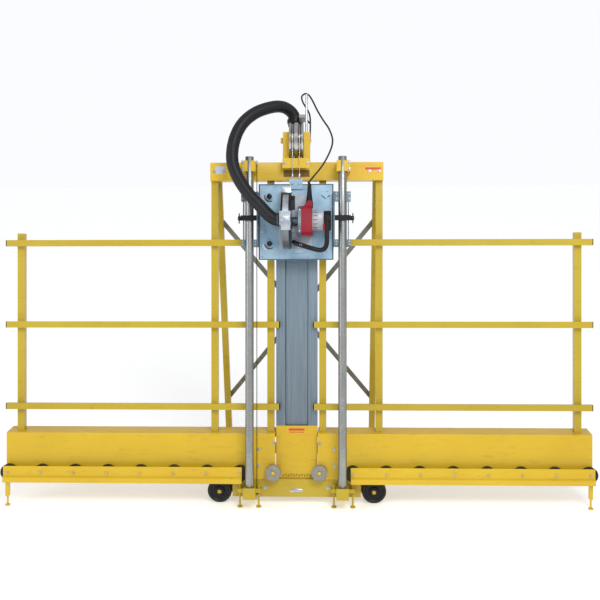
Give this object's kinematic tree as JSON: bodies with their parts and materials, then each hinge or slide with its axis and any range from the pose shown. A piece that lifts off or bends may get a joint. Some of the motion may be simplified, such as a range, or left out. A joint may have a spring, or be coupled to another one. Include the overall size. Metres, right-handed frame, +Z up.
{
  "type": "vertical panel saw",
  "caption": "Wheeled leaning steel frame with a roller bed and wall rails; a counterweighted circular saw on a turning plate slides on two guide tubes.",
  "frame": {"origin": "on the floor, under the middle of the machine's bounding box without its cord", "axes": "+X to the right as the operator faces it, +Y away from the operator, +Z up"},
  "size_m": [3.0468, 0.7764, 2.0803],
  "materials": {
    "yellow_paint": "semi-gloss yellow enamel",
    "zinc_steel": "bright zinc plate",
    "galvanised_bar": "dull galvanised",
    "polished_steel": "polished",
    "blue_zinc_plate": "blue-passivated zinc",
    "cast_aluminium": "satin cast",
    "black_plastic": "satin black",
    "red_plastic": "satin red",
    "grey_nylon": "matt grey",
    "cast_iron": "dark paint",
    "black_rubber": "matt black"
  },
  "bodies": {
    "frame": {"base_frame": "yellow_paint", "left_apron": "yellow_paint", "right_apron": "yellow_paint", "left_front_angle": "yellow_paint", "right_front_angle": "yellow_paint", "left_wall_frame": "yellow_paint", "right_wall_frame": "yellow_paint", "top_beam": "yellow_paint", "centre_plate": "yellow_paint", "channel": "zinc_steel", "rear_legs": "yellow_paint", "cross_braces": "galvanised_bar", "left_guide_tube": "zinc_steel", "right_guide_tube": "zinc_steel", "pulley_bracket": "yellow_paint", "cord_mast": "zinc_steel", "dust_pipe": "cast_iron", "dust_hose": "black_plastic", "power_cord": "black_plastic", "cord_coil": "black_plastic", "plug": "black_plastic", "counterweight_cables": "polished_steel"},
    "carriage": {"carriage_plate": "blue_zinc_plate", "left_side_bracket": "zinc_steel", "right_side_bracket": "zinc_steel"},
    "saw": {"turntable": "cast_aluminium", "saw_body": "red_plastic", "upper_guard": "cast_aluminium", "handle": "black_plastic"},
    "blade": {"blade": "polished_steel"},
    "lower_guard": {"lower_guard": "black_plastic"},
    "trigger": {"trigger": "red_plastic"},
    "upper_index_plunger": {"upper_index_plunger": "black_plastic"},
    "lower_index_plunger": {"lower_index_plunger": "black_plastic"},
    "left_carriage_lock": {"left_carriage_lock": "black_plastic"},
    "right_carriage_lock": {"right_carriage_lock": "black_plastic"},
    "counterweight": {"counterweight": "cast_iron"},
    "pulley": {"pulley": "polished_steel"},
    "left_roller_1": {"left_roller_1": "black_rubber"},
    "left_roller_2": {"left_roller_2": "black_rubber"},
    "left_roller_3": {"left_roller_3": "black_rubber"},
    "left_roller_4": {"left_roller_4": "black_rubber"},
    "left_roller_5": {"left_roller_5": "black_rubber"},
    "left_roller_6": {"left_roller_6": "black_rubber"},
    "left_roller_7": {"left_roller_7": "black_rubber"},
    "left_roller_8": {"left_roller_8": "black_rubber"},
    "left_centre_disc": {"left_centre_disc": "grey_nylon"},
    "right_roller_1": {"right_roller_1": "black_rubber"},
    "right_roller_2": {"right_roller_2": "black_rubber"},
    "right_roller_3": {"right_roller_3": "black_rubber"},
    "right_roller_4": {"right_roller_4": "black_rubber"},
    "right_roller_5": {"right_roller_5": "black_rubber"},
    "right_roller_6": {"right_roller_6": "black_rubber"},
    "right_roller_7": {"right_roller_7": "black_rubber"},
    "right_roller_8": {"right_roller_8": "black_rubber"},
    "right_centre_disc": {"right_centre_disc": "grey_nylon"},
    "front_left_wheel": {"front_left_wheel": "black_rubber"},
    "front_right_wheel": {"front_right_wheel": "black_rubber"},
    "rear_left_wheel": {"rear_left_wheel": "black_rubber"},
    "rear_right_wheel": {"rear_right_wheel": "black_rubber"}
  },
  "joints": [
    {"name": "carriage_slide", "type": "slide", "parent": "frame", "child": "carriage", "axis": [0, -0.1736, -0.9848], "range_m": [-0.085, 1.19], "deforming": ["counterweight_cables", "dust_hose", "power_cord"]},
    {"name": "counterweight_slide", "type": "slide", "parent": "frame", "child": "counterweight", "axis": [0, -0.1736, -0.9848], "range_m": [-1.191, 0.086]},
    {"name": "pulley_spin", "type": "hinge", "parent": "frame", "child": "pulley", "pos_m": [0, 0.05365, 1.84133], "axis": [1, 0, 0], "range_deg": [-60, 815]},
    {"name": "saw_turn", "type": "hinge", "parent": "carriage", "child": "saw", "pos_m": [0, -0.09951, 1.43628], "axis": [0, -0.9848, 0.1736], "range_deg": [-90, 0]},
    {"name": "blade_spin", "type": "hinge", "parent": "saw", "child": "blade", "pos_m": [-0.044, -0.14137, 1.44366], "axis": [1, 0, 0], "continuous": true},
    {"name": "lower_guard_swing", "type": "hinge", "parent": "saw", "child": "lower_guard", "pos_m": [-0.044, -0.14137, 1.44366], "axis": [1, 0, 0], "range_deg": [0, 125]},
    {"name": "trigger_press", "type": "slide", "parent": "saw", "child": "trigger", "axis": [1, 0, 0], "range_m": [0, 0.0035], "stiffness_N_per_m": 600, "springref_m": -0.001},
    {"name": "upper_plunger_pull", "type": "slide", "parent": "carriage", "child": "upper_index_plunger", "axis": [0, -0.9848, 0.1736], "range_m": [0, 0.01], "stiffness_N_per_m": 600, "springref_m": -0.001},
    {"name": "lower_plunger_pull", "type": "slide", "parent": "carriage", "child": "lower_index_plunger", "axis": [0, -0.9848, 0.1736], "range_m": [0, 0.01], "stiffness_N_per_m": 600, "springref_m": -0.001},
    {"name": "left_lock_turn", "type": "hinge", "parent": "carriage", "child": "left_carriage_lock", "pos_m": [-0.27, -0.11429, 1.45614], "axis": [1, 0, 0], "range_deg": [0, 180]},
    {"name": "right_lock_turn", "type": "hinge", "parent": "carriage", "child": "right_carriage_lock", "pos_m": [0.27, -0.11429, 1.45614], "axis": [1, 0, 0], "range_deg": [0, 180]},
    {"name": "left_roller_1_spin", "type": "hinge", "parent": "frame", "child": "left_roller_1", "pos_m": [-0.288, -0.28691, 0.16906], "axis": [0, -0.9848, 0.1736], "continuous": true},
    {"name": "left_roller_2_spin", "type": "hinge", "parent": "frame", "child": "left_roller_2", "pos_m": [-0.4587, -0.28691, 0.16906], "axis": [0, -0.9848, 0.1736], "continuous": true},
    {"name": "left_roller_3_spin", "type": "hinge", "parent": "frame", "child": "left_roller_3", "pos_m": [-0.6294, -0.28691, 0.16906], "axis": [0, -0.9848, 0.1736], "continuous": true},
    {"name": "left_roller_4_spin", "type": "hinge", "parent": "frame", "child": "left_roller_4", "pos_m": [-0.8001, -0.28691, 0.16906], "axis": [0, -0.9848, 0.1736], "continuous": true},
    {"name": "left_roller_5_spin", "type": "hinge", "parent": "frame", "child": "left_roller_5", "pos_m": [-0.9708, -0.28691, 0.16906], "axis": [0, -0.9848, 0.1736], "continuous": true},
    {"name": "left_roller_6_spin", "type": "hinge", "parent": "frame", "child": "left_roller_6", "pos_m": [-1.1415, -0.28691, 0.16906], "axis": [0, -0.9848, 0.1736], "continuous": true},
    {"name": "left_roller_7_spin", "type": "hinge", "parent": "frame", "child": "left_roller_7", "pos_m": [-1.3122, -0.28691, 0.16906], "axis": [0, -0.9848, 0.1736], "continuous": true},
    {"name": "left_roller_8_spin", "type": "hinge", "parent": "frame", "child": "left_roller_8", "pos_m": [-1.4829, -0.28691, 0.16906], "axis": [0, -0.9848, 0.1736], "continuous": true},
    {"name": "left_centre_disc_spin", "type": "hinge", "parent": "frame", "child": "left_centre_disc", "pos_m": [-0.118, -0.28639, 0.17202], "axis": [0, -0.9848, 0.1736], "continuous": true},
    {"name": "right_roller_1_spin", "type": "hinge", "parent": "frame", "child": "right_roller_1", "pos_m": [0.288, -0.28691, 0.16906], "axis": [0, -0.9848, 0.1736], "continuous": true},
    {"name": "right_roller_2_spin", "type": "hinge", "parent": "frame", "child": "right_roller_2", "pos_m": [0.4587, -0.28691, 0.16906], "axis": [0, -0.9848, 0.1736], "continuous": true},
    {"name": "right_roller_3_spin", "type": "hinge", "parent": "frame", "child": "right_roller_3", "pos_m": [0.6294, -0.28691, 0.16906], "axis": [0, -0.9848, 0.1736], "continuous": true},
    {"name": "right_roller_4_spin", "type": "hinge", "parent": "frame", "child": "right_roller_4", "pos_m": [0.8001, -0.28691, 0.16906], "axis": [0, -0.9848, 0.1736], "continuous": true},
    {"name": "right_roller_5_spin", "type": "hinge", "parent": "frame", "child": "right_roller_5", "pos_m": [0.9708, -0.28691, 0.16906], "axis": [0, -0.9848, 0.1736], "continuous": true},
    {"name": "right_roller_6_spin", "type": "hinge", "parent": "frame", "child": "right_roller_6", "pos_m": [1.1415, -0.28691, 0.16906], "axis": [0, -0.9848, 0.1736], "continuous": true},
    {"name": "right_roller_7_spin", "type": "hinge", "parent": "frame", "child": "right_roller_7", "pos_m": [1.3122, -0.28691, 0.16906], "axis": [0, -0.9848, 0.1736], "continuous": true},
    {"name": "right_roller_8_spin", "type": "hinge", "parent": "frame", "child": "right_roller_8", "pos_m": [1.4829, -0.28691, 0.16906], "axis": [0, -0.9848, 0.1736], "continuous": true},
    {"name": "right_centre_disc_spin", "type": "hinge", "parent": "frame", "child": "right_centre_disc", "pos_m": [0.118, -0.28639, 0.17202], "axis": [0, -0.9848, 0.1736], "continuous": true},
    {"name": "front_left_wheel_spin", "type": "hinge", "parent": "frame", "child": "front_left_wheel", "pos_m": [-0.398, -0.25181, 0.0625], "axis": [0, 1, 0], "continuous": true},
    {"name": "front_right_wheel_spin", "type": "hinge", "parent": "frame", "child": "front_right_wheel", "pos_m": [0.398, -0.25181, 0.0625], "axis": [0, 1, 0], "continuous": true},
    {"name": "rear_left_wheel_spin", "type": "hinge", "parent": "frame", "child": "rear_left_wheel", "pos_m": [-0.398, 0.35519, 0.0625], "axis": [0, 1, 0], "continuous": true},
    {"name": "rear_right_wheel_spin", "type": "hinge", "parent": "frame", "child": "rear_right_wheel", "pos_m": [0.398, 0.35519, 0.0625], "axis": [0, 1, 0], "continuous": true}
  ],
  "couplings": [
    {"joint": "counterweight_slide", "follows": "carriage_slide", "ratio": -1},
    {"joint": "pulley_spin", "follows": "carriage_slide", "rad_per_m": 11.765}
  ]
}
